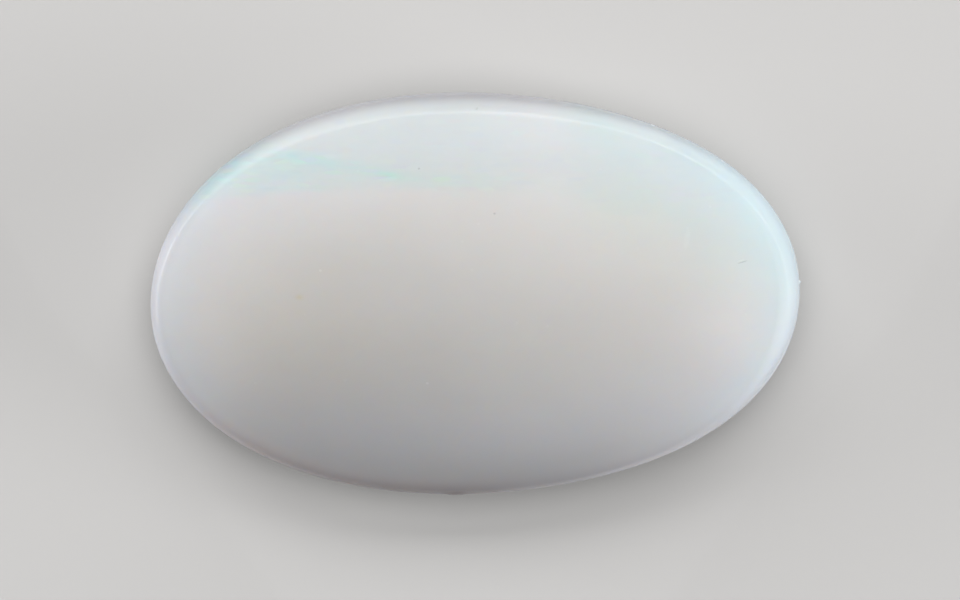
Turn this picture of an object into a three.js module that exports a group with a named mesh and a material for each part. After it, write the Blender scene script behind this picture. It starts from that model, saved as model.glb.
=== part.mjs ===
// A polished oval opal cabochon, one solid stone: a low dome that rolls over a rounded shoulder to
// the girdle, a short wall that draws in below it, and a flat base with a bevelled edge.
// Millimetres, +Z up, +X along the stone, origin at the middle of the base.
import * as THREE from "three";
import { ParametricGeometry } from "three/addons/geometries/ParametricGeometry.js";
import { mergeVertices } from "three/addons/utils/BufferGeometryUtils.js";

// Driving dimensions
const LENGTH = 16.0; // along X, over the girdle
const WIDTH = 9.9; // along Y, over the girdle
const THICKNESS = 3.3; // base to the top of the dome
const GIRDLE_HEIGHT = 1.1; // base to the girdle, the widest line
const SHOULDER_RADIUS = 0.73; // mean radius of the roll from the dome down to the girdle
const WALL_RADIUS = 1.6; // gentler roll from the girdle down to the bevel
const BEVEL = 0.3; // the base's bevelled edge, as wide as it is high

// Grinding by hand leaves the oval a little off a true ellipse. Each swell pushes the outline out
// by that many millimetres at the half width, in so many lobes, with one lobe at the angle given,
// in degrees from +X towards +Y.
const OUTLINE_SWELLS = [
  { lobes: 1, swell: 0.052, angle: 178.4 },
  { lobes: 2, swell: 0.053, angle: 41.5 },
  { lobes: 3, swell: 0.051, angle: -9.4 },
  { lobes: 4, swell: 0.041, angle: 41.4 },
  { lobes: 5, swell: 0.011, angle: 36.0 },
];

// The roll over the shoulder is uneven in the same way: wider on the side that was ground longer,
// and a little three-cornered.
const SHOULDER_SWELLS = [
  { lobes: 1, swell: 0.38, angle: 76 },
  { lobes: 3, swell: 0.105, angle: -3 },
];

// Fineness of the facets
const FACETS_ROUND = 96;
const FACETS_PER_ARC = 10;

// How far these swells push out together at an angle.
function swelling(swells, angle) {
  let push = 0;
  for (const { lobes, swell, angle: lobe } of swells) {
    push += swell * Math.cos(lobes * (angle - THREE.MathUtils.degToRad(lobe)));
  }
  return push;
}

// The girdle seen from above, as a point for each angle of the ellipse it departs from.
function girdlePoint(angle) {
  const reach = 1 + swelling(OUTLINE_SWELLS, angle) / (WIDTH / 2);
  return new THREE.Vector2(
    (reach * LENGTH * Math.cos(angle)) / 2,
    (reach * WIDTH * Math.sin(angle)) / 2,
  );
}

function shoulderRadius(angle) {
  return SHOULDER_RADIUS + swelling(SHOULDER_SWELLS, angle);
}

function arcPoints(centreX, centreY, radius, from, to) {
  const arc = new THREE.EllipseCurve(centreX, centreY, radius, radius, from, to);
  return arc.getPoints(FACETS_PER_ARC);
}

// The stone cut from its axis out to the girdle, from the middle of the base up to the top of the
// dome. The dome's radius follows from the rest, so that dome and shoulder meet without an edge.
function section(reach, shoulder) {
  const rise = THICKNESS - GIRDLE_HEIGHT;
  const shoulderCentre = reach - shoulder;
  const domeRadius = (shoulderCentre ** 2 + rise ** 2 - shoulder ** 2) / (2 * (rise - shoulder));
  const meeting = Math.acos(shoulderCentre / (domeRadius - shoulder));
  const wallCentre = reach - WALL_RADIUS;
  const wallFoot = -Math.asin((GIRDLE_HEIGHT - BEVEL) / WALL_RADIUS);
  const footReach = wallCentre + WALL_RADIUS * Math.cos(wallFoot);

  return [
    new THREE.Vector2(0, 0),
    new THREE.Vector2(footReach - BEVEL, 0),
    ...arcPoints(wallCentre, GIRDLE_HEIGHT, WALL_RADIUS, wallFoot, 0),
    ...arcPoints(shoulderCentre, GIRDLE_HEIGHT, shoulder, 0, meeting).slice(1),
    ...arcPoints(0, THICKNESS - domeRadius, domeRadius, meeting, Math.PI / 2).slice(1),
  ];
}

// Sections all the way round, closed on the axis at the base and at the top of the dome.
function stoneGeometry() {
  const ribs = [];
  for (let i = 0; i < FACETS_ROUND; i += 1) {
    const angle = (2 * Math.PI * i) / FACETS_ROUND;
    const girdle = girdlePoint(angle);
    const points = section(girdle.length(), shoulderRadius(angle));
    ribs.push({ outward: girdle.normalize(), points });
  }
  const steps = ribs[0].points.length - 1;

  const onStone = (round, along, target) => {
    const rib = ribs[Math.round(round * FACETS_ROUND) % FACETS_ROUND];
    const point = rib.points[Math.round(along * steps)];
    target.set(rib.outward.x * point.x, rib.outward.y * point.x, point.y);
  };
  const skin = new ParametricGeometry(onStone, FACETS_ROUND, steps);
  skin.deleteAttribute("normal");
  skin.deleteAttribute("uv");

  skin.computeBoundingBox();
  const size = skin.boundingBox.getSize(new THREE.Vector3());
  const middle = skin.boundingBox.getCenter(new THREE.Vector3());
  skin.translate(-middle.x, -middle.y, 0);
  skin.scale(LENGTH / size.x, WIDTH / size.y, 1);

  const stone = mergeVertices(skin);
  stone.computeVertexNormals();
  return stone;
}

function polishedOpal() {
  return new THREE.MeshStandardMaterial({ color: 0xd6d9d6, roughness: 0.1, metalness: 0 });
}

const cabochon = new THREE.Group();
const stone = new THREE.Mesh(stoneGeometry(), polishedOpal());
stone.name = "opal_stone";
cabochon.add(stone);

export default cabochon;
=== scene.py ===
# %% [markdown]
# The object is a loose opal: one piece of milky white stone, ground to an oval and polished to a
# low dome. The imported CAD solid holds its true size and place, but it is faceted and plain. This
# lesson keeps the size and the place and makes the looks: a smooth polished skin, milk that light
# soaks into, a faint play of colour and the small marks that a handled polish has.

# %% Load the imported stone
import math

import bmesh
import bpy
from mathutils import Matrix, Vector, noise
from mathutils.bvhtree import BVHTree


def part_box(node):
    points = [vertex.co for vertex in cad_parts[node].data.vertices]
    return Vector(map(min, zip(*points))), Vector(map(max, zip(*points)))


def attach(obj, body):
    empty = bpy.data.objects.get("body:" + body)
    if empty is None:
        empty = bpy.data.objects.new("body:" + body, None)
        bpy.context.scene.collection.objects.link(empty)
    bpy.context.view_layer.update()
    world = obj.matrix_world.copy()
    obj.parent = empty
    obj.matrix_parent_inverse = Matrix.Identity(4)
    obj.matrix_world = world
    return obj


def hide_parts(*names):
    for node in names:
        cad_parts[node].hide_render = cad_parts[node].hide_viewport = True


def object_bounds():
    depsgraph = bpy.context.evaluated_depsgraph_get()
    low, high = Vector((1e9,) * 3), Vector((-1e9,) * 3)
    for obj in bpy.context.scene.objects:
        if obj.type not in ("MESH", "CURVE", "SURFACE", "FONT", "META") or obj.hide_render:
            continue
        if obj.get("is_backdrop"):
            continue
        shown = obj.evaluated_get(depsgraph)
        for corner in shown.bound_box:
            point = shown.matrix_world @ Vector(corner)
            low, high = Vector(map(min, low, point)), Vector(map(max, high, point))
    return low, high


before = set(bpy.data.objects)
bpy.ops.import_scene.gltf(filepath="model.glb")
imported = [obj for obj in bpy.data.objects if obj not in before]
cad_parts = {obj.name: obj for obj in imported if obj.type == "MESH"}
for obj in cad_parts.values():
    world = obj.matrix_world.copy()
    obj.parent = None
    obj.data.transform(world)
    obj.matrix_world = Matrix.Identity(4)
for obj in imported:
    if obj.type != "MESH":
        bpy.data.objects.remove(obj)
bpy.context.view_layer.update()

MM = 0.001
stone_low, stone_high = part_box("opal_stone")
stone_size = stone_high - stone_low
print("stone in mm:", [round(side / MM, 2) for side in stone_size])

# %% [markdown]
# A cutter grinds the oval first. A true ellipse would look machined, because a stone that is
# held by hand against the wheel comes out a little fuller here and flatter there. Points could be
# traced round the outline, but a formula is shorter and has no corners: an ellipse that a few
# small swells push out, each with its own number of lobes.

# %% The girdle's outline
HALF_LENGTH = stone_size.x / 2
HALF_WIDTH = stone_size.y / 2

# Lobes round the stone, how far they push out at the half width, and one lobe's angle in degrees
OUTLINE_SWELLS = [
    (1, 0.052 * MM, 178.4),
    (2, 0.053 * MM, 41.5),
    (3, 0.051 * MM, -9.4),
    (4, 0.041 * MM, 41.4),
    (5, 0.011 * MM, 36.0),
]


def swelling(swells, angle):
    """How far these swells push out together at this angle."""
    return sum(
        swell * math.cos(lobes * (angle - math.radians(lobe_angle)))
        for lobes, swell, lobe_angle in swells
    )


def girdle_point(angle):
    """Where the girdle lies, seen from above, for an angle of the ellipse that it departs from."""
    reach = 1 + swelling(OUTLINE_SWELLS, angle) / HALF_WIDTH
    return reach * Vector((HALF_LENGTH * math.cos(angle), HALF_WIDTH * math.sin(angle)))


print("outline: an ellipse and", len(OUTLINE_SWELLS), "swells")

# %% [markdown]
# The section is what the cutter rocks the stone through: a long low dome, a tighter roll over the
# shoulder, the girdle, a gentler roll under it, and a bevel so that the edge doesn't chip. The
# roll over the shoulder is uneven, because one side was ground longer. A highlight shows that: it
# lies further in where the roll is wider. Dome and shoulder have to meet without an edge in every
# direction, so the dome's radius is worked out from how far the girdle lies from the middle.

# %% The section from the middle of the base to the top of the dome
THICKNESS = stone_size.z
GIRDLE_HEIGHT = 1.1 * MM
SHOULDER_RADIUS = 0.73 * MM
WALL_RADIUS = 1.6 * MM
BEVEL = 0.3 * MM

# Lobes round the stone, how much wider the roll is there, and one lobe's angle in degrees
SHOULDER_SWELLS = [
    (1, 0.38 * MM, 76),
    (3, 0.105 * MM, -3),
]

# How many rings of faces each part of the section gets
BASE_RINGS = 8
WALL_RINGS = 16
SHOULDER_RINGS = 44
DOME_RINGS = 90


def arc(centre, height, radius, start, end, rings):
    """Points along an arc of the section, the first of them left out."""
    turns = [start + (end - start) * ring / rings for ring in range(1, rings + 1)]
    return [(centre + radius * math.cos(turn), height + radius * math.sin(turn)) for turn in turns]


def shoulder_radius(angle):
    """The roll is wider on the side that was ground longer, and a little three-cornered."""
    return SHOULDER_RADIUS + swelling(SHOULDER_SWELLS, angle)


def section(reach, shoulder):
    """Pairs of distance from the axis and height, for this girdle and this shoulder's radius."""
    rise = THICKNESS - GIRDLE_HEIGHT
    shoulder_centre = reach - shoulder
    dome_radius = (shoulder_centre**2 + rise**2 - shoulder**2) / (2 * (rise - shoulder))
    meeting = math.acos(shoulder_centre / (dome_radius - shoulder))
    wall_foot = -math.asin((GIRDLE_HEIGHT - BEVEL) / WALL_RADIUS)
    foot = reach - WALL_RADIUS + WALL_RADIUS * math.cos(wall_foot)

    base = [((foot - BEVEL) * ring / BASE_RINGS, 0) for ring in range(BASE_RINGS + 1)]
    wall = arc(reach - WALL_RADIUS, GIRDLE_HEIGHT, WALL_RADIUS, wall_foot, 0, WALL_RINGS)
    roll = arc(shoulder_centre, GIRDLE_HEIGHT, shoulder, 0, meeting, SHOULDER_RINGS)
    dome = arc(0, THICKNESS - dome_radius, dome_radius, meeting, math.pi / 2, DOME_RINGS)
    return [*base, (foot, BEVEL), *wall, *roll, *dome]


print("section of", len(section(HALF_WIDTH, SHOULDER_RADIUS)), "points")

# %% [markdown]
# One way to the solid is to write out all its points. A shorter way is the one that the workshop
# has: turn a round stone, then grind it to the oval. The operator spin turns the section, and each
# point remembers its ring, so it can be moved to the same ring of the section in its direction.

# %% Turn a round stone
ROUND_STEPS = 384
SAME_POINT = 1e-8

stone = bmesh.new()
ring_of = stone.verts.layers.int.new("ring")
rim_depth_of = stone.verts.layers.float.new("rim_depth")
shade_of = stone.verts.layers.float.new("mark_shade")

chain = []
for number, (reach, height) in enumerate(section(HALF_WIDTH, SHOULDER_RADIUS)):
    point = stone.verts.new((reach, 0, height))
    point[ring_of] = number
    chain.append(point)
links = [stone.edges.new(pair) for pair in zip(chain, chain[1:])]
bmesh.ops.spin(
    stone, geom=chain + links, cent=(0, 0, 0), axis=(0, 0, 1),
    angle=math.tau, steps=ROUND_STEPS, use_merge=True,
)
bmesh.ops.remove_doubles(stone, verts=stone.verts, dist=SAME_POINT)
print("turned stone:", len(stone.verts), "points,", len(stone.faces), "faces")

# %% [markdown]
# While each point goes to its place on the oval, it also notes how deep it lies behind the thin
# rim, in millimetres. A note like this is an attribute of the mesh, and the material can read it.

# %% Grind it to the oval
angles = [math.tau * step / ROUND_STEPS for step in range(ROUND_STEPS)]
girdle = [girdle_point(angle) for angle in angles]
sections = [section(point.length, shoulder_radius(angle)) for point, angle in zip(girdle, angles)]

for point in stone.verts:
    step = round(math.atan2(point.co.y, point.co.x) / math.tau * ROUND_STEPS) % ROUND_STEPS
    reach, height = sections[step][point[ring_of]]
    point.co.xy = girdle[step].normalized() * reach
    point.co.z = height
    below_girdle = max(0, GIRDLE_HEIGHT - height)
    point[rim_depth_of] = (girdle[step].length - reach + below_girdle) / MM
print("girdle reaches", round(max(point.length for point in girdle) / MM, 2), "mm")

# %% [markdown]
# The swells have moved the oval a little off centre and changed its length. The CAD box is the
# size that counts, so the ground stone is measured, centred and fitted to it.

# %% Fit the stone to the CAD box
def box_of(points):
    """Lowest and highest corner of these points."""
    sides = list(zip(*(point.co for point in points)))
    return Vector(map(min, sides)), Vector(map(max, sides))


low, high = box_of(stone.verts)
bmesh.ops.translate(stone, verts=stone.verts, vec=(stone_low + stone_high - low - high) / 2)
fit = [side / made for side, made in zip(stone_size, high - low)]
bmesh.ops.scale(stone, verts=stone.verts, vec=fit)
print("fitted by", [round(share, 4) for share in fit])

# %% [markdown]
# The bevel's two edges are still sharp lines. On the stone a few strokes on the fine wheel take
# that sharpness off, and the bevel operator does the same to both rings of edges.

# %% Soften the bevel's edges
EDGE_SOFTENING = 0.05 * MM
SOFTENING_STEPS = 3

sharp_rings = {BASE_RINGS, BASE_RINGS + 1}
sharp_edges = [
    edge for edge in stone.edges
    if edge.verts[0][ring_of] == edge.verts[1][ring_of] and edge.verts[0][ring_of] in sharp_rings
]
bmesh.ops.bevel(
    stone, geom=sharp_edges, offset=EDGE_SOFTENING, offset_type="OFFSET",
    affect="EDGES", segments=SOFTENING_STEPS, profile=0.5, material=-1,
)
bmesh.ops.recalc_face_normals(stone, faces=stone.faces)
print("softened", len(sharp_edges), "edges")

# %% [markdown]
# No hand polish is perfectly even: rocking the stone on the wheel leaves long, very low waves.
# They are too low to see as shape, but reflections swim a little over them, which a perfect dome
# would never show. They are made by moving points along their normals by a smooth noise, and they
# fade out at the girdle.

# %% Leave the waves of a hand polish
WAVE_LENGTH = 2.4 * MM
WAVE_HEIGHT = 0.003 * MM
WAVE_FADE = 0.4 * MM

stone.normal_update()
for point in stone.verts:
    share = min(1, max(0, (point.co.z - GIRDLE_HEIGHT) / WAVE_FADE))
    point.co += point.normal * WAVE_HEIGHT * share * noise.noise(point.co / WAVE_LENGTH)
print("waves of", WAVE_HEIGHT / MM, "mm")

# %% [markdown]
# A stone that has been handled has small marks: pits where a grain came out, a short scratch, a
# nick and a burr on the girdle. They are a few hundredths of a millimetre wide, finer than the
# mesh, so the faces there are subdivided first. A ray from above finds the spot and the slope of
# the skin. Then a smooth hump moves the points, inwards for a pit and outwards for a burr. Each
# point also notes how much darker or lighter the mark is, because dirt settles in a pit and a
# fresh nick is white.

# %% How a mark is made
MESH_STEP = 0.1 * MM
POINTS_ACROSS = 3
ABOVE_ALL = 100
SHADE_STEEPNESS = 2


def mark(name, place, half_size, push=0.0, shade=0.0, turn=0):
    """A mark at a place seen from above, all in mm: pushed out by so much, and so much lighter."""
    above = Vector((*place, ABOVE_ALL)) * MM
    centre, normal, _, _ = BVHTree.FromBMesh(stone).ray_cast(above, (0, 0, -1))
    level = Vector((math.cos(math.radians(turn)), math.sin(math.radians(turn)), 0))
    lengthwise = (level - level.project(normal)).normalized()
    half_length, half_width = (half * MM for half in half_size)

    def outness(point):
        """0 in the middle of the mark and 1 on its edge."""
        offset = point.co - centre
        run = offset.dot(lengthwise)
        aside = (offset - run * lengthwise).length
        return math.hypot(run / half_length, aside / half_width)

    def points_within(margin):
        """The points up to this far outside the mark, found by their distance first."""
        reach = (half_length + margin) ** 2
        close = (point for point in stone.verts if (point.co - centre).length_squared < reach)
        return [point for point in close if outness(point) < 1 + margin / half_width]

    margin = MESH_STEP
    finest = half_width / POINTS_ACROSS
    while margin > finest:
        edges = {edge for point in points_within(margin) for edge in point.link_edges}
        long_edges = [edge for edge in edges if edge.calc_length() > finest]
        bmesh.ops.subdivide_edges(stone, edges=long_edges, cuts=1, use_grid_fill=True)
        margin /= 2
    stone.normal_update()
    marked = [(point, 1 - outness(point) ** 2) for point in points_within(0)]
    for point, hump in marked:
        point.co += point.normal * push * MM * hump**2
        point[shade_of] += shade * min(1, SHADE_STEEPNESS * hump)
    print(name, "has", len(marked), "points")


# %% [markdown]
# Each mark of the photographed stone has its place, its half length and half width, and its turn.
# A mark that is only colour is hardly pushed, and one that is only shape is hardly shaded.

# %% The stone's marks
mark("pit in the colour seam", (-1.37, 3.03), (0.033, 0.028), push=-0.01, shade=-0.16)
mark("pit on the dome", (0.47, 1.93), (0.033, 0.028), push=-0.01, shade=-0.16)
mark("tick on the shoulder", (0.04, 4.52), (0.05, 0.03), push=-0.008, shade=-0.12, turn=70)
mark("scratch", (6.53, 0.76), (0.15, 0.015), push=-0.006, shade=-0.18, turn=17)
mark("scratch's lip", (6.49, 0.8), (0.12, 0.018), push=0.003, shade=0.05, turn=17)
mark("scuff", (5.16, 1.32), (0.3, 0.08), push=-0.002, shade=0.025, turn=78)
mark("nick in the girdle", (4.37, 4.14), (0.06, 0.05), push=-0.03, shade=0.3, turn=-30)
mark("burr on the girdle", (7.97, 0.28), (0.06, 0.06), push=0.04, shade=0.05, turn=90)
mark("swell of the girdle", (-0.45, -4.94), (0.36, 0.15), push=0.03, shade=-0.15)
mark("light speck on the left", (-3.76, 0.55), (0.04, 0.035), push=0.002, shade=0.1)
mark("light speck in front", (-1.16, -2.19), (0.04, 0.035), push=0.002, shade=0.1)

# %% [markdown]
# The shape is done, so the bmesh becomes a mesh and the mesh an object. It rides on the part's
# only body and is shown in place of the CAD solid.

# %% Make the stone an object
stone_mesh = bpy.data.meshes.new("polished_opal")
stone.to_mesh(stone_mesh)
stone.free()
stone_mesh.shade_smooth()
polished_opal = bpy.data.objects.new("polished_opal", stone_mesh)
bpy.context.scene.collection.objects.link(polished_opal)
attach(polished_opal, "root")
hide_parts("opal_stone")
print("stone mesh:", len(stone_mesh.vertices), "points")

# %% [markdown]
# Materials are node trees, and sums of many masks are hard to read as nodes. A small class lets a
# socket be used in Python sums instead: each sum adds its Math node, and one method adds any other
# node, its settings first and then the values or wires of its sockets.

# %% A socket that can be used in sums
class Wire:
    """An output socket of the node tree that is being made."""

    tree = None

    def __init__(self, socket):
        self.socket = socket

    @staticmethod
    def find(sockets, key):
        """A socket by its number, or the one in use that has this name."""
        if isinstance(key, int):
            return sockets[key]
        return next(socket for socket in sockets if socket.enabled and socket.name == key)

    @classmethod
    def node(cls, kind, settings=None, inputs=None, output=0):
        """Adds a node and gives back one of its outputs."""
        made = cls.tree.nodes.new(kind)
        for name, value in (settings or {}).items():
            setattr(made, name, value)
        for key, value in (inputs or {}).items():
            socket = cls.find(made.inputs, key)
            if isinstance(value, Wire):
                cls.tree.links.new(value.socket, socket)
            else:
                socket.default_value = value
        return cls(cls.find(made.outputs, output)) if made.outputs else None

    def sibling(self, output):
        """Another output of the same node."""
        return Wire(Wire.find(self.socket.node.outputs, output))

    def feed(self, shader, name):
        """Leads this wire into a shader's socket."""
        Wire.tree.links.new(self.socket, Wire.find(shader.inputs, name))

    def math(self, operation, *others):
        """A Math node on this wire and the other values."""
        terms = dict(enumerate((self, *others)))
        return Wire.node("ShaderNodeMath", {"operation": operation}, terms)

    def __add__(self, other):
        return self.math("ADD", other)

    def __sub__(self, other):
        return self.math("SUBTRACT", other)

    def __rsub__(self, other):
        return self * -1 + other

    def __mul__(self, other):
        return self.math("MULTIPLY", other)

    def __truediv__(self, other):
        return self.math("DIVIDE", other)

    __radd__ = __add__
    __rmul__ = __mul__


# %% [markdown]
# Milky opal is full of tiny spheres of silica that scatter the light, so light goes in, wanders
# and comes out somewhere else. A plain white paint would look like porcelain. Subsurface
# scattering lets the light wander, red furthest, so lit edges turn bluish as on the stone. Over
# the milk lies a hard polish.

# %% The opal's milk
LIGHT_REACH = 0.5 * MM
REACH_RED_GREEN_BLUE = (1.0, 0.82, 0.66)
OPAL_IOR = 1.45

opal = bpy.data.materials.new("milky_opal")
opal.use_nodes = True
Wire.tree = opal.node_tree
skin = opal.node_tree.nodes["Principled BSDF"]
skin.subsurface_method = "RANDOM_WALK"
skin.inputs["Subsurface Weight"].default_value = 1
skin.inputs["Subsurface Radius"].default_value = REACH_RED_GREEN_BLUE
skin.inputs["Subsurface Scale"].default_value = LIGHT_REACH
skin.inputs["IOR"].default_value = OPAL_IOR
stone_mesh.materials.append(opal)
print("light wanders about", LIGHT_REACH / MM, "mm")

# %% [markdown]
# The colours of this stone lie in places: a warm middle, a cool haze behind, a bright seam. Each
# place is a mask, a number from 0 to 1 worked out from the point's coordinates in millimetres.
# Three helpers start it off: one fades smoothly over a range, one is a soft oval patch, and one
# lays a tint over a colour. The tint multiplies, so it never hides what lies below it.

# %% Places and helpers for the masks
spot = Wire.node("ShaderNodeTexCoord", output="Object")
spot_mm = Wire.node("ShaderNodeMapping", inputs={"Vector": spot, "Scale": (1 / MM,) * 3})
along = Wire.node("ShaderNodeSeparateXYZ", inputs={0: spot_mm}, output="X")
across = along.sibling("Y")
above_base = along.sibling("Z")


def fade(value, start, end):
    """Rises smoothly from 0 at the start to 1 at the end."""
    limits = {"Value": value, "From Min": start, "From Max": end}
    return Wire.node("ShaderNodeMapRange", {"interpolation_type": "SMOOTHSTEP"}, limits)


def oval(middle, half_size, turn=0, ripple=0):
    """A soft oval patch: 1 in its middle, falling off as a bell does, turned by so many degrees."""
    right = math.cos(math.radians(turn))
    up = math.sin(math.radians(turn))
    right_of_it = along - middle[0]
    behind_it = across - middle[1] + ripple
    lengthwise = (right_of_it * right + behind_it * up) / half_size[0]
    crosswise = (behind_it * right - right_of_it * up) / half_size[1]
    return ((lengthwise * lengthwise + crosswise * crosswise) * -1).math("EXPONENT")


def tinted(colour, mask, tint):
    """The colour, multiplied by the tint where the mask is 1."""
    mix = {"data_type": "RGBA", "blend_type": "MULTIPLY"}
    sockets = {"Factor": mask, "A": colour, "B": tint}
    return Wire.node("ShaderNodeMix", mix, sockets, "Result")


print("the material has", len(opal.node_tree.nodes), "nodes so far")

# %% [markdown]
# The milk isn't the same white all over. In the thick middle it is warm, like cream, and warmest
# at the left. Towards the edges and round the left end it is cooler. At the two ends it is painted
# a little lighter, as painted light. The depth behind the rim is the note that the points took
# along.

# %% Warm middle, cool edges
EDGE_MILK = (0.788, 0.79, 0.812, 1)
CORE_WARMTH = (1.01, 0.99, 0.942, 1)
CORE_HALF_SIZE = (9.4, 3.9)
CORE_EDGE = (0.9, 0.1)
WARMEST, WARMEST_HALF = (-5.1, -1.4), (2.3, 2.0)
WARMEST_TINT = (1.012, 0.995, 0.964, 1)
LEFT_COOL = (0.968, 1, 1.026, 1)
LEFT_COOL_DEPTH = (1.5, 0.2)
LEFT_COOL_ALONG = (-5.5, -7.0)
LEFT_LIT_ALONG, LEFT_END_LIGHT = (-5.0, -7.2), 0.015
RIGHT_LIT_ALONG, RIGHT_END_LIGHT = (5.0, 7.2), 0.06


def note(name):
    """A number that the mesh's points have noted."""
    return Wire.node("ShaderNodeAttribute", {"attribute_name": name}, output="Fac")


rim_depth = note("rim_depth")
core_x = along / CORE_HALF_SIZE[0]
core_y = across / CORE_HALF_SIZE[1]
core = fade(core_x * core_x + core_y * core_y, *CORE_EDGE)
milk = tinted(EDGE_MILK, core, CORE_WARMTH)
milk = tinted(milk, oval(WARMEST, WARMEST_HALF), WARMEST_TINT)
left_end = fade(rim_depth, *LEFT_COOL_DEPTH) * fade(along, *LEFT_COOL_ALONG)
milk = tinted(milk, left_end, LEFT_COOL)
# Painted light: both ends are made a little lighter, the right one more.
painted_ends = fade(along, *LEFT_LIT_ALONG) * LEFT_END_LIGHT + fade(along, *RIGHT_LIT_ALONG) * RIGHT_END_LIGHT
print("the right end is lighter by", RIGHT_END_LIGHT)

# %% [markdown]
# The thin rim is painted darker in a narrow line all round, as painted shade, and its milk is a
# little cooler. In front and at the left tip less shade is painted, and least of all in front right
# of the middle. The wall below the girdle gets painted shade too, more of it behind. A bell of the
# depth makes such a line, because it has no edge of its own.

# %% The thin rim and the wall below it
RIM_WIDTH, RIM_SHADE = 0.22, 0.42
RIM_COOL = (1.005, 1, 1.04, 1)
FRONT_ACROSS, FRONT_ALONG = (0, -2), (7.5, 5.0)
FRONT_RELIEF = 0.4
MORE_FROM, MORE_TO, MORE_RELIEF = (-0.5, 1.5), (6.0, 4.0), 0.2
LESS_MIDDLE, LESS_HALF_LENGTH, LESS_RELIEF = -2.0, 2.0, 0.18
LEFT_TIP_ALONG, LEFT_TIP_RELIEF = (-7.2, -7.9), 0.25
BACK_ACROSS, BACK_ALONG = (1.0, 4.2), (6.0, -1.0)
GIRDLE_MM = GIRDLE_HEIGHT / MM
DARK_WALL = 0.6 * GIRDLE_MM
WALL_SHADE, BACK_WALL_SHADE = 0.36, 0.14


def hill(distance, half_width):
    """1 where the distance is 0, falling off on both sides as a bell does."""
    return (distance * distance * (-1 / half_width**2)).math("EXPONENT")


rim = hill(rim_depth, RIM_WIDTH)
milk = tinted(milk, rim, RIM_COOL)
more = fade(along, *MORE_FROM) * fade(along, *MORE_TO) * MORE_RELIEF
less = hill(along - LESS_MIDDLE, LESS_HALF_LENGTH) * LESS_RELIEF
in_front = fade(across, *FRONT_ACROSS) * fade(along, *FRONT_ALONG)
left_tip = fade(along, *LEFT_TIP_ALONG)
relief = in_front * (FRONT_RELIEF + more - less) + left_tip * LEFT_TIP_RELIEF
# Painted shade along the thin rim, less of it where the relief is.
painted_rim_shade = rim * (1 - relief) * RIM_SHADE

behind = fade(across, *BACK_ACROSS) * fade(along, *BACK_ALONG)
# Painted shade on the wall below the girdle, more of it behind.
on_wall = fade(above_base, GIRDLE_MM, DARK_WALL) * (1 - rim)
painted_wall_shade = on_wall * (WALL_SHADE + behind * BACK_WALL_SHADE)
print("the rim keeps", round(1 - RIM_SHADE, 2), "of the milk's light")

# %% [markdown]
# Further in from the rim there is softer painted shade: a dark line along the back, a wide band
# along the front, where the stone is painted grey, and a line on the shoulder at each end. They
# could be painted by hand, but bells of the noted depth follow the rim by themselves. All this
# painted shade, with the painted light at the ends, says how light the body's milk is.

# %% Softer painted shade further in
BACK_DEPTH, BACK_WIDTH, BACK_SHADE = 0.2, 0.24, 0.2
BAND_WIDTH, BAND_SHADE = 0.85, 0.24
BAND_MIDDLE, BAND_HALF_LENGTH, BAND_ACROSS = 1.0, 4.0, (-2.5, -4.2)
RIGHT_DEPTH, RIGHT_WIDTH, RIGHT_SHADE = 0.34, 0.22, 0.17
RIGHT_ALONG, RIGHT_MIDDLE, RIGHT_HALF = (2.0, 5.5), 1.5, 2.2
LEFT_DEPTH, LEFT_WIDTH, LEFT_SHADE = 0.3, 0.13, 0.1
LEFT_ALONG, LEFT_MIDDLE, LEFT_HALF = (-3.5, -6.5), 2.1, 1.3

# Painted shade: a line along the back, a band in front and a line on each end's shoulder.
painted_back_shade = hill(rim_depth - BACK_DEPTH, BACK_WIDTH) * behind * BACK_SHADE
front_middle = hill(along - BAND_MIDDLE, BAND_HALF_LENGTH) * fade(across, *BAND_ACROSS)
painted_front_shade = hill(rim_depth, BAND_WIDTH) * front_middle * BAND_SHADE
right_side = fade(along, *RIGHT_ALONG) * hill(across - RIGHT_MIDDLE, RIGHT_HALF)
painted_right_shade = hill(rim_depth - RIGHT_DEPTH, RIGHT_WIDTH) * right_side * RIGHT_SHADE
left_side = fade(along, *LEFT_ALONG) * hill(across - LEFT_MIDDLE, LEFT_HALF)
painted_left_shade = hill(rim_depth - LEFT_DEPTH, LEFT_WIDTH) * left_side * LEFT_SHADE
# body: the painted light at the ends less all the painted shade.
body = 1 + painted_ends - painted_rim_shade - painted_wall_shade - painted_back_shade - painted_front_shade - painted_right_shade - painted_left_shade
print("the front band loses", BAND_SHADE)

# %% [markdown]
# Behind the middle the stone has a blue-green haze: there its spheres lie in order and send blue
# and green back. Past a slanting line at the right it is stronger, and left of that line the thin
# rim has none. Opal is laid down in layers, so the haze is streaky. A noise that is stretched more
# along the stone than across it makes the streaks, and they shift each border of the haze.

# %% The blue-green haze
STREAK_SIZE = (1.6, 0.35, 0.8)
HAZE_ACROSS, HAZE_STREAK = (2.2, 3.1), 0.3
HAZE_BEHIND = (0.93, 0.983, 0.973, 1)
DROP_ALONG, HAZE_DROP = (1.5, 3.5), 0.6
THINNER_MIDDLE, THINNER_HALF, THINNER = 1.6, 1.0, 0.4
SLANT_FOOT, SLANT_LEAN, SLANT_STREAK = (2.8, 4.1), 0.88, 0.4
LEFT_OF_SLANT = (1.0, -0.5)
RIGHT_OF_SLANT, RIGHT_ACROSS = (-1.0, 1.4), (-1.5, 1.5)
HAZE_RIGHT = (0.916, 0.995, 0.989, 1)


def stretched(size):
    """The place in a pattern whose cells have this size in mm along X, Y and Z."""
    scale = tuple(1 / side for side in size)
    return Wire.node("ShaderNodeMapping", inputs={"Vector": spot_mm, "Scale": scale})


def patches(size, detail=2):
    """Soft cloudy numbers about 0, from -1 to 1, in patches of this size."""
    sockets = {"Vector": stretched(size), "Scale": 1, "Detail": detail}
    return Wire.node("ShaderNodeTexNoise", inputs=sockets) * 2 - 1


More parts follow.
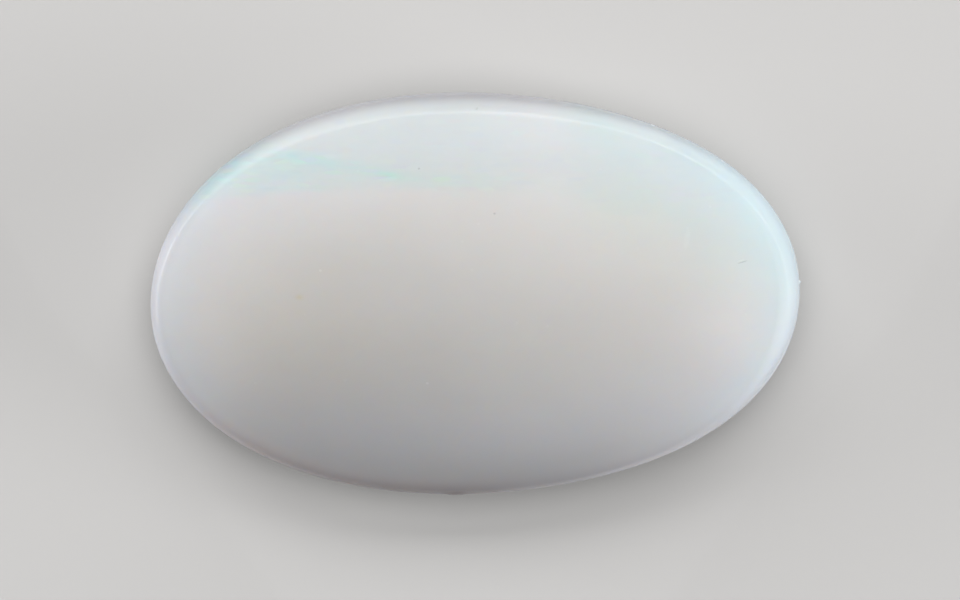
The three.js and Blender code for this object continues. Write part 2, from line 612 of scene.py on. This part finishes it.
streaks = patches(STREAK_SIZE)
drop = fade(along, *DROP_ALONG) * HAZE_DROP
haze = fade(across + streaks * HAZE_STREAK + drop, *HAZE_ACROSS) * (1 - rim)
leaned = (across - SLANT_FOOT[1]) * SLANT_LEAN
past_slant = along - SLANT_FOOT[0] + leaned + streaks * SLANT_STREAK
thinner = hill(along - THINNER_MIDDLE, THINNER_HALF) * THINNER
haze_left = haze * fade(past_slant, *LEFT_OF_SLANT) * (1 - thinner)
haze_right = fade(past_slant, *RIGHT_OF_SLANT) * fade(across, *RIGHT_ACROSS)
milk = tinted(milk, haze_left, HAZE_BEHIND)
milk = tinted(milk, haze_right, HAZE_RIGHT)
print("haze from", HAZE_ACROSS[0], "mm behind the middle")

# %% [markdown]
# The haze at the right has green borders: a short streak along the slanting line near the back,
# a lower edge, and a faint trace in front of that. Round the right end a band along the rim is
# blue. The streak and the band use distances that are there already, past the line and behind the
# rim, so they follow both. For the other two an oval patch is enough.

# %% Green borders and a blue end
SLANT_GREEN = (0.97, 1.01, 1, 1)
SLANT_GREEN_AT, SLANT_GREEN_HALF, SLANT_GREEN_ACROSS = 0.3, 0.5, (2.6, 4.0)
LOWER_EDGE, LOWER_EDGE_HALF, LOWER_EDGE_TURN = (4.0, 1.85), (1.5, 0.55), -10
LOWER_EDGE_STREAK = 0.3
LOWER_EDGE_GREEN = (0.972, 1.003, 0.985, 1)
TRACE, TRACE_HALF, TRACE_TURN = (4.9, 0.9), (2.8, 0.9), -25
TRACE_GREEN = (0.982, 1, 0.992, 1)
END_DEPTH, END_STREAK = (1.5, 0.1), 0.2
END_ALONG, END_ACROSS = (3.5, 6.8), (-5.0, -1.0)
END_BLUE = (0.913, 1, 1.033, 1)

slant_edge = hill(past_slant - SLANT_GREEN_AT, SLANT_GREEN_HALF) * fade(across, *SLANT_GREEN_ACROSS)
lower_edge = oval(LOWER_EDGE, LOWER_EDGE_HALF, LOWER_EDGE_TURN, ripple=streaks * LOWER_EDGE_STREAK)
blue_end = fade(rim_depth + streaks * END_STREAK, *END_DEPTH)
blue_end = blue_end * fade(along, *END_ALONG) * fade(across, *END_ACROSS)
milk = tinted(milk, slant_edge, SLANT_GREEN)
milk = tinted(milk, lower_edge, LOWER_EDGE_GREEN)
milk = tinted(milk, oval(TRACE, TRACE_HALF, TRACE_TURN), TRACE_GREEN)
milk = tinted(milk, blue_end, END_BLUE)
print("blue band of", END_DEPTH[0], "mm round the right end")

# %% [markdown]
# The brightest play of colour is one seam on the left behind the middle: a layer that comes up
# through the polish. It is widest and turquoise at the left edge. From there a bright streak
# arches over to the middle of the stone, and below it the seam ends in quite a sharp line. Three
# masks make it, the layer, the streak and the patch at the edge, and the strongest of them counts.

# %% The turquoise seam
SEAM_LINE, SEAM_SOFTNESS, SEAM_WANDER = 2.62, 0.12, 0.1
SEAM_BEND, SEAM_LEAN = -2.1, 0.06
ARCH_MIDDLE, ARCH_HALF_LENGTH, ARCH_RISE = -5.0, 2.4, 0.85
ARCH_EDGE = (0.35, -0.05)
LAYER_SHARE, LAYER_LEFT_ALONG, LAYER_LEFT_SHARE = 0.12, (-2.5, -4.5), 0.22
BRIGHT_ABOVE, BRIGHT_HALF_WIDTH = 0.05, 0.19
BRIGHT_ALONG, BRIGHT_SHARE = (-7.0, -5.0), 0.58
LEFT_PATCH, LEFT_PATCH_HALF, LEFT_PATCH_TURN = (-6.15, 2.96), (1.25, 0.32), 38
LEFT_PATCH_WANDER = 0.15
WANDER_SIZE = (1.3, 0.5, 1.0)

wander = patches(WANDER_SIZE, detail=3)
lean = (SEAM_BEND - along).math("MAXIMUM", 0) * SEAM_LEAN
into_seam = across - SEAM_LINE + lean + wander * SEAM_WANDER
arch = hill(along - ARCH_MIDDLE, ARCH_HALF_LENGTH) * ARCH_RISE
layer = fade(into_seam, -SEAM_SOFTNESS, SEAM_SOFTNESS) * fade(into_seam - arch, *ARCH_EDGE)
layer = layer * (LAYER_SHARE + fade(along, *LAYER_LEFT_ALONG) * LAYER_LEFT_SHARE)
bright_streak = hill(into_seam - arch - BRIGHT_ABOVE, BRIGHT_HALF_WIDTH)
bright_streak = bright_streak * fade(along, *BRIGHT_ALONG) * BRIGHT_SHARE
left_patch = oval(LEFT_PATCH, LEFT_PATCH_HALF, LEFT_PATCH_TURN, ripple=wander * LEFT_PATCH_WANDER)
seam = layer.math("MAXIMUM", bright_streak).math("MAXIMUM", left_patch)
print("seam's line at", SEAM_LINE, "mm")

# %% [markdown]
# The seam isn't even. Fine streaks run through it, it fades out to the right, and on the way there
# its turquoise turns green. Drawing each streak would take long, so they are a noise of long thin
# patches, faded between two levels, which leaves some of the seam paler and some of it full.

# %% The seam's streaks and colours
FINE_STREAK_SIZE, FINE_STREAK_EDGE, FINE_STREAK_SHARE = (0.8, 0.18, 0.5), (-0.4, 0.3), 0.4
SEAM_END = (2.6, -1.0)
GREEN_ALONG = (-4.5, -2.0)
SEAM_TURQUOISE = (0.815, 1.055, 1.04, 1)
SEAM_GREEN = (0.87, 1.03, 0.995, 1)

fine_streaks = fade(patches(FINE_STREAK_SIZE), *FINE_STREAK_EDGE)
fine_streaks = fine_streaks * FINE_STREAK_SHARE + (1 - FINE_STREAK_SHARE)
seam = seam * fade(along, *SEAM_END) * fine_streaks
green_part = fade(along, *GREEN_ALONG)
milk = tinted(milk, seam * (1 - green_part), SEAM_TURQUOISE)
milk = tinted(milk, seam * green_part, SEAM_GREEN)
print("the seam turns green from", GREEN_ALONG[0], "to", GREEN_ALONG[1], "mm")

# %% [markdown]
# Inside the seam and the haze single flecks light up in their own colour, from green to lilac and
# pink. A Voronoi texture cuts space into cells, each with a colour by chance, and stretching it
# makes the cells lie in layers. Only a trace of each colour is mixed in. One fleck in the seam is
# bright green.

# %% Flecks of colour
FLECK_SIZE, FLECK_EDGE, FLECK_TRACE = (0.5, 0.14, 0.4), (0.75, 0.2), 0.16
IN_SEAM, IN_HAZE, ELSEWHERE = 0.9, 0.15, 0.05
GREEN_FLECK, GREEN_FLECK_HALF, GREEN_FLECK_TURN = (-2.1, 2.87), (0.26, 0.07), -7
GREEN_FLECK_WANDER = 0.05
FLECK_GREEN = (0.9, 1.045, 0.99, 1)


def cells(size):
    """The colour by chance of each cell of about this size."""
    sockets = {"Vector": stretched(size), "Scale": 1}
    return Wire.node("ShaderNodeTexVoronoi", inputs=sockets, output="Color")


fleck = cells(FLECK_SIZE)
fleck_middle = fade(fleck.sibling("Distance"), *FLECK_EDGE)
fleck_tint = Wire.node(
    "ShaderNodeVectorMath",
    {"operation": "MULTIPLY_ADD"},
    {0: fleck, 1: (FLECK_TRACE,) * 3, 2: (1 - FLECK_TRACE / 2,) * 3},
)
fleck_amount = (seam * IN_SEAM + haze * IN_HAZE + ELSEWHERE) * fleck_middle
milk = tinted(milk, fleck_amount, fleck_tint)
green_ripple = wander * GREEN_FLECK_WANDER
green_fleck = oval(GREEN_FLECK, GREEN_FLECK_HALF, GREEN_FLECK_TURN, ripple=green_ripple)
milk = tinted(milk, green_fleck, FLECK_GREEN)
print("flecks of about", FLECK_SIZE, "mm")

# %% [markdown]
# Then come small things: a yellowish speck of clay, which is only colour, and a warm tint on the
# thin rim at the left in front, painted light that stands in for warm light come through the stone.
# Both are tints and no bumps.

# %% Speck and painted warm light
CLAY_SPECK, CLAY_HALF = (-4.28, -0.1), (0.09, 0.06)
CLAY = (0.98, 0.95, 0.84, 1)
WARM_LIGHT_WIDTH, WARM_LIGHT_ACROSS, WARM_LIGHT_ALONG = 0.36, (-1.5, -4.0), (3.0, -2.0)
RIM_WARM_LIGHT = (1.065, 1, 0.975, 1)

milk = tinted(milk, oval(CLAY_SPECK, CLAY_HALF), CLAY)
# Painted light: the thin rim at the left in front is tinted warm.
painted_warm_light = hill(rim_depth, WARM_LIGHT_WIDTH) * fade(across, *WARM_LIGHT_ACROSS) * fade(along, *WARM_LIGHT_ALONG)
milk = tinted(milk, painted_warm_light, RIM_WARM_LIGHT)
print("blush of", WARM_LIGHT_WIDTH, "mm along the rim")

# %% [markdown]
# Milk is never quite even, so faint clouds drift through it, small ones by chance and a few larger
# ones, lighter or darker, at listed places, with tiny light grains. They could be a volume inside
# the stone, but that renders slowly, and for clouds this faint a shade of the skin will do. They,
# the body's painted shade and painted light, and the shade that each mark noted for itself make the
# milk lighter or darker, and that is its final colour.

# %% Clouds, grains and marks
CLOUD_SIZE, CLOUD_SHARE = (1.4, 0.9, 0.9), 0.02
GRAIN_CELL, GRAIN_EDGE, GRAIN_SHARE = (0.8, 0.8, 0.8), (0.06, 0.02), 0.03

# Middle and half size of each larger cloud, its turn in degrees, and how much lighter it is
LARGE_CLOUDS = [
    ((1.4, -1.6), (1.7, 1.0), 0, 0.02),
    ((-3.2, 2.5), (2.0, 1.1), 0, 0.035),
    ((5.8, -0.9), (1.1, 0.7), 0, 0.03),
    ((3.2, -3.5), (1.8, 0.8), 14, -0.05),
    ((-0.2, 0.2), (2.0, 1.6), 25, -0.025),
]


def shaded(colour, share):
    """The colour, made lighter or darker by this share."""
    terms = {0: colour, "Scale": share}
    return Wire.node("ShaderNodeVectorMath", {"operation": "SCALE"}, terms)


grain = fade(cells(GRAIN_CELL).sibling("Distance"), *GRAIN_EDGE) * GRAIN_SHARE
clouds = patches(CLOUD_SIZE, detail=3) * CLOUD_SHARE
for middle, half_size, turn, gain in LARGE_CLOUDS:
    clouds = clouds + oval(middle, half_size, turn) * gain
mark_shade = note("mark_shade")
# body carries the painted shade and the painted light of the ends.
shaded(milk, body * (1 + clouds + grain + mark_shade)).feed(skin, "Base Color")
print("the milk's colour takes", len(opal.node_tree.nodes), "nodes")

# %% [markdown]
# The dome has a mirror polish with faint rubs, the wall under the girdle is only half polished,
# and the base is just lapped flat on a plate, which leaves it dull with fine lines. So the
# roughness goes by height, and a bump draws the lines on the base.

# %% Polish on the dome, lines on the lapped base
POLISHED = 0.07
HALF_POLISHED = 0.2
LAPPED = 0.45
HALF_POLISHED_WALL = 0.5 * GIRDLE_MM
LAPPED_EDGE = (0.12, 0.02)
RUB_SIZE, RUB = (0.7, 0.5, 0.5), 0.02
LAP_LINE = (4.0, 0.035, 4.0)
LAP_DEPTH = 0.004 * MM

half_polished = fade(above_base, GIRDLE_MM, HALF_POLISHED_WALL)
lapped = fade(above_base, *LAPPED_EDGE)
rough = POLISHED + patches(RUB_SIZE, detail=4) * RUB
rough = rough + half_polished * (HALF_POLISHED - POLISHED) + lapped * (LAPPED - HALF_POLISHED)
rough.feed(skin, "Roughness")
lap_lines = patches(LAP_LINE, detail=1) * lapped
lined = Wire.node("ShaderNodeBump", inputs={"Height": lap_lines, "Distance": LAP_DEPTH})
lined.feed(skin, "Normal")
print("roughness", POLISHED, "on the dome,", LAPPED, "on the base")

# %% [markdown]
# The stage is a plain pale board that runs on past every view. It only has to take the stone's
# shadow, so it is one flat grid, a hair below the base.

# %% The floor
FLOOR_HALF = 2.0
FLOOR_GAP = 0.01 * MM
FLOOR_PAINT = (0.35, 0.345, 0.34, 1)
FLOOR_ROUGHNESS = 0.7
FLOOR_GLOSS = 0.1

board = bmesh.new()
bmesh.ops.create_grid(board, x_segments=1, y_segments=1, size=FLOOR_HALF)
bmesh.ops.translate(board, verts=board.verts, vec=(0, 0, stone_low.z - FLOOR_GAP))
floor_mesh = bpy.data.meshes.new("floor")
board.to_mesh(floor_mesh)
board.free()
floor = bpy.data.objects.new("floor", floor_mesh)
bpy.context.scene.collection.objects.link(floor)
floor_paint = bpy.data.materials.new("pale_floor")
floor_paint.use_nodes = True
floor_skin = floor_paint.node_tree.nodes["Principled BSDF"]
floor_skin.inputs["Base Color"].default_value = FLOOR_PAINT
floor_skin.inputs["Roughness"].default_value = FLOOR_ROUGHNESS
floor_skin.inputs["Specular IOR Level"].default_value = FLOOR_GLOSS
floor_mesh.materials.append(floor_paint)
floor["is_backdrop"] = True
print("floor of", 2 * FLOOR_HALF, "m")

# %% [markdown]
# The light rakes over the stone: a window behind it with a low lamp under it, and a low lamp at
# each end. That is what makes a white dome read as round, bright behind and grey in front. A large
# lamp would also mirror itself in the polish as a bright patch, which the stone doesn't show, so
# these lights are kept out of the reflections. Such low lamps leave the floor dark and draw hard
# shadows on it, so a soft light from straight above evens it out. Light linking lets that one
# light only the floor.

# %% Lights that shape the dome
LIGHT_DISTANCE = 0.5


def soft_light(name, azimuth, polar, size, power):
    """A flat soft light that faces the stone, turned from +X and tilted from straight above."""
    lamp = bpy.data.lights.new(name, "AREA")
    lamp.shape = "RECTANGLE"
    lamp.size, lamp.size_y = size
    lamp.energy = power
    light = bpy.data.objects.new(name, lamp)
    turn = math.radians(azimuth)
    tilt = math.radians(polar)
    sideways = Vector((math.cos(turn), math.sin(turn), 0)) * math.sin(tilt)
    light.location = LIGHT_DISTANCE * (sideways + Vector((0, 0, math.cos(tilt))))
    light.rotation_mode = "QUATERNION"
    light.rotation_quaternion = (-light.location).to_track_quat("-Z", "Y")
    light.visible_camera = False
    light.visible_glossy = False
    bpy.context.scene.collection.objects.link(light)
    return light


soft_light("window_behind", azimuth=90, polar=50, size=(0.8, 0.2), power=1.67)
soft_light("low_lamp_behind", azimuth=90, polar=80, size=(0.8, 0.1), power=1.03)
soft_light("low_lamp_right", azimuth=-9, polar=78, size=(0.3, 0.1), power=2.65)
soft_light("low_lamp_left", azimuth=168, polar=78, size=(0.3, 0.1), power=1.75)

floor_light = soft_light("floor_light", azimuth=0, polar=0, size=(0.6, 0.6), power=3.0)
floor_only = bpy.data.collections.new("floor_only")
floor_only.objects.link(floor)
floor_light.light_linking.receiver_collection = floor_only
print("lights at", LIGHT_DISTANCE, "m")

# %% [markdown]
# What the polish does show is one thin bright line along the shoulder. That is a long thin lamp
# behind the stone, mirrored. A straight strip would have to be metres long to reach both ends of
# the line, so it is bent to a little more than a half ring: a short edge, spun round and tilted up
# behind, so that its two ends come down to the floor. Only reflections see it.

# %% A thin lamp for the bright line
RING_RISE = math.radians(18.5)
RING_THICKNESS = math.radians(7)
RING_PAST_ENDS = math.radians(10)
RING_STEPS = 64

ring = bmesh.new()
half_height = LIGHT_DISTANCE * math.tan(RING_THICKNESS / 2)
start = Vector((math.cos(RING_PAST_ENDS), -math.sin(RING_PAST_ENDS), 0)) * LIGHT_DISTANCE
ends = [ring.verts.new((start.x, start.y, side * half_height)) for side in (-1, 1)]
edge = ring.edges.new(ends)
bmesh.ops.spin(
    ring, geom=[*ends, edge], cent=(0, 0, 0), axis=(0, 0, 1),
    angle=math.pi + 2 * RING_PAST_ENDS, steps=RING_STEPS,
)
tilt_up = Matrix.Rotation(RING_RISE, 3, "X")
bmesh.ops.rotate(ring, verts=ring.verts, cent=(0, 0, 0), matrix=tilt_up)
bmesh.ops.translate(ring, verts=ring.verts, vec=(0, 0, half_height))
ring_mesh = bpy.data.meshes.new("ring_lamp")
ring.to_mesh(ring_mesh)
ring.free()
ring_lamp = bpy.data.objects.new("ring_lamp", ring_mesh)
ring_lamp.visible_camera = False
ring_lamp.visible_diffuse = False
ring_lamp.visible_transmission = False
ring_lamp.visible_shadow = False
bpy.context.scene.collection.objects.link(ring_lamp)
ring_lamp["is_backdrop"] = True
print("ring lamp of", len(ring_mesh.polygons), "faces")

# %% [markdown]
# Towards its left end the lamp is brighter, as the line on the stone is. Two glows are mixed by a
# mask along the ring. Rays find the lamp by themselves, so it isn't sampled as a light.

# %% The lamp's glow
RING_GLOW = 2.4
RING_LEFT_GLOW = 5.4
RING_LEFT_END = (-0.7, -1.0)

glow = bpy.data.materials.new("ring_glow")
glow.use_nodes = True
glow.node_tree.nodes.clear()
Wire.tree = glow.node_tree
ring_spot = Wire.node("ShaderNodeTexCoord", output="Object")
to_end = Wire.node("ShaderNodeSeparateXYZ", inputs={0: ring_spot}, output="X") / LIGHT_DISTANCE
plain_glow = Wire.node("ShaderNodeEmission", inputs={"Strength": RING_GLOW})
left_glow = Wire.node("ShaderNodeEmission", inputs={"Strength": RING_LEFT_GLOW})
at_left_end = fade(to_end, *RING_LEFT_END)
both = Wire.node("ShaderNodeMixShader", inputs={0: at_left_end, 1: plain_glow, 2: left_glow})
Wire.node("ShaderNodeOutputMaterial", inputs={"Surface": both})
glow.cycles.emission_sampling = "NONE"
ring_mesh.materials.append(glow)
print("ring lamp glows", RING_GLOW, "to", RING_LEFT_GLOW)

# %% [markdown]
# The room is pale where the camera sees it, but it sheds little light: an even light from all
# sides would fill the shadows and flatten the dome. In the polish it shows as a soft sheen. The
# Light Path node tells which kind of ray asks.

# %% The room
ROOM_LIGHT = 0.05
ROOM_SEEN = 0.55
ROOM_SHEEN = 0.25
WHITE = (1, 1, 1, 1)

world = bpy.data.worlds.new("soft_room")
bpy.context.scene.world = world
world.use_nodes = True
Wire.tree = world.node_tree
room = world.node_tree.nodes["Background"]
room.inputs["Color"].default_value = WHITE
by_camera = Wire.node("ShaderNodeLightPath", output="Is Camera Ray")
by_polish = by_camera.sibling("Is Glossy Ray")
more_seen = by_camera * (ROOM_SEEN - ROOM_LIGHT)
more_sheen = by_polish * (ROOM_SHEEN - ROOM_LIGHT)
(more_seen + more_sheen + ROOM_LIGHT).feed(room, "Strength")
world.cycles.sampling_method = "NONE"
bpy.context.scene.view_settings.view_transform = "Standard"
print("room seen at", ROOM_SEEN, "and lighting at", ROOM_LIGHT)

# %% [markdown]
# The photograph looks straight down on the stone. A long lens from far enough away keeps the sides
# of the dome from leaning, and the stone's edges in the photograph give the scale and the place.

# %% Camera
# Sizes and places in the photograph, in pixels
PHOTO_WIDTH = 960
PHOTO_HEIGHT = 600
STONE_LEFT, STONE_RIGHT = 150.5, 799.8
STONE_TOP, STONE_BOTTOM = 92.5, 494.0

# The lens and the sensor, in millimetres, and the nearest thing that the camera sees
LENS = 200
SENSOR = 36
NEAREST = 10 * MM

pixel = stone_size.x / (STONE_RIGHT - STONE_LEFT)
aim_x = (PHOTO_WIDTH / 2 - (STONE_LEFT + STONE_RIGHT) / 2) * pixel
aim_y = ((STONE_TOP + STONE_BOTTOM) / 2 - PHOTO_HEIGHT / 2) * pixel
camera_height = GIRDLE_HEIGHT + pixel * PHOTO_WIDTH * LENS / SENSOR

lens = bpy.data.cameras.new("camera")
lens.lens = LENS
lens.sensor_width = SENSOR
lens.clip_start = NEAREST
camera = bpy.data.objects.new("camera", lens)
camera.location = (aim_x, aim_y, camera_height)
bpy.context.scene.collection.objects.link(camera)
bpy.context.scene.camera = camera
print("camera height in mm:", round(camera_height / MM, 1))

# %% [markdown]
# At the end the finished stone is measured.

# %% Measure the finished stone
low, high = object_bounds()
